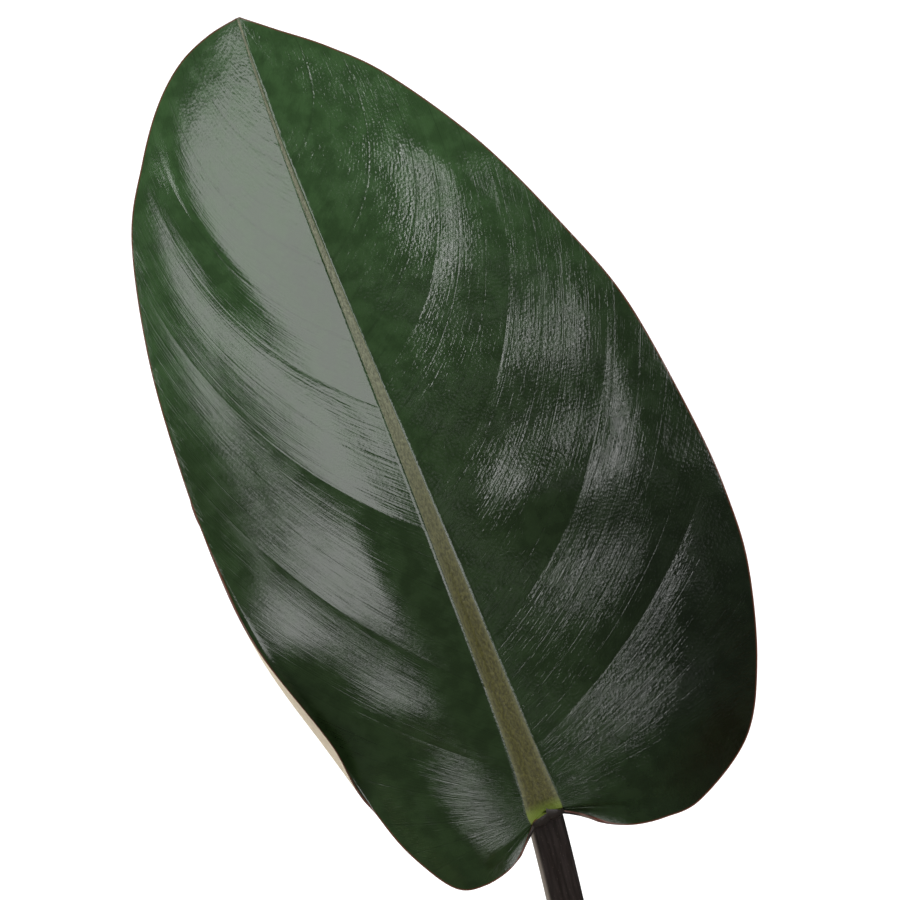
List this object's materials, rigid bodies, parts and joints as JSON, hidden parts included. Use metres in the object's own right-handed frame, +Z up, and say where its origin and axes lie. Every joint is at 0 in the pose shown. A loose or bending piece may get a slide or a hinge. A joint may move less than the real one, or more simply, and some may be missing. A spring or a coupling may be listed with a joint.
{
  "type": "potted congo rojo philodendron",
  "caption": "Potted foliage plant: large oval glossy leaves on dark stalks round a short stem, with a rolled new leaf and prop roots, in a tapered grower's pot of potting mix.",
  "frame": {"origin": "middle of the pot's flat base, on the surface that the pot stands on", "axes": "+Z up the pot and stem; the tall leaf's upper face looks toward -Y and up, and its tip leans toward -X and +Y"},
  "size_m": [0.6092, 0.5044, 0.5937],
  "materials": {
    "leaf": "gloss",
    "young_leaf": "gloss",
    "petiole": "satin",
    "young_red": "satin",
    "stem": "matte",
    "prop_root": "matte",
    "potting_mix": "matte",
    "pot": "satin"
  },
  "bodies": {
    "root": {"pot": "pot", "potting_mix": "potting_mix", "stem": "stem", "prop_root_1": "prop_root", "prop_root_2": "prop_root", "prop_root_3": "prop_root", "prop_root_4": "prop_root", "spear": "young_red", "spear_sheath": "young_red", "leaf_1_petiole": "petiole", "leaf_1_blade": "leaf", "leaf_2_petiole": "petiole", "leaf_2_blade": "leaf", "leaf_3_petiole": "petiole", "leaf_3_blade": "leaf", "leaf_4_petiole": "petiole", "leaf_4_blade": "leaf", "leaf_5_petiole": "petiole", "leaf_5_blade": "leaf", "leaf_6_petiole": "petiole", "leaf_6_blade": "leaf", "leaf_7_petiole": "petiole", "leaf_7_blade": "leaf", "tall_leaf_petiole": "petiole", "tall_leaf_blade": "leaf", "newest_leaf_petiole": "young_red", "newest_leaf_blade": "young_leaf"}
  },
  "joints": []
}
